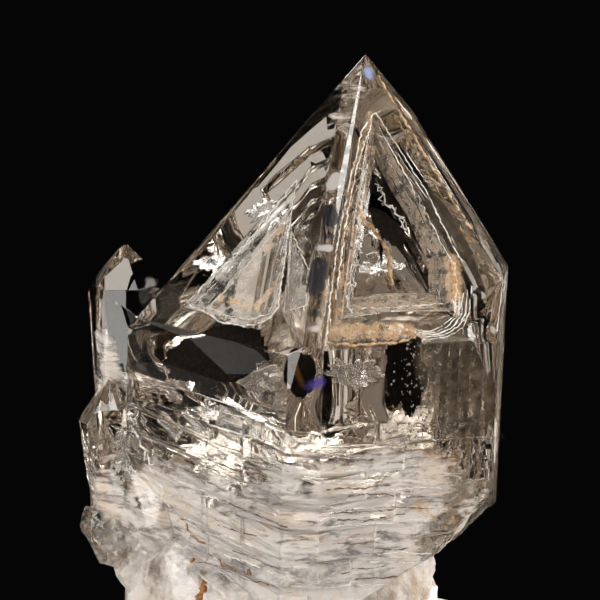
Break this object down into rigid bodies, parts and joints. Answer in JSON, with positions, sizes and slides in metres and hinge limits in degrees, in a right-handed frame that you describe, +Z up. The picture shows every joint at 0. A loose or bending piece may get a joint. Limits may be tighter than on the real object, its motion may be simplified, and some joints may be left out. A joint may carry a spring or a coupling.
{
  "type": "skeletal quartz cluster",
  "caption": "Clear skeletal quartz point with stepped hollow faces, smaller points grown on its side and back, and a milky foot cut flat so that it stands.",
  "frame": {"origin": "middle of the flat underside that the cluster rests on", "axes": "+Z up along the large point, front (the side with the two hollowed faces) towards -Y, +X to the right seen from the front"},
  "size_m": [0.0466, 0.0474, 0.0654],
  "materials": {
    "quartz": "clear, flat crystal faces going to milky white at the foot, with iron-stained hollows"
  },
  "bodies": {
    "root": {"quartz_cluster": "quartz"}
  },
  "joints": []
}
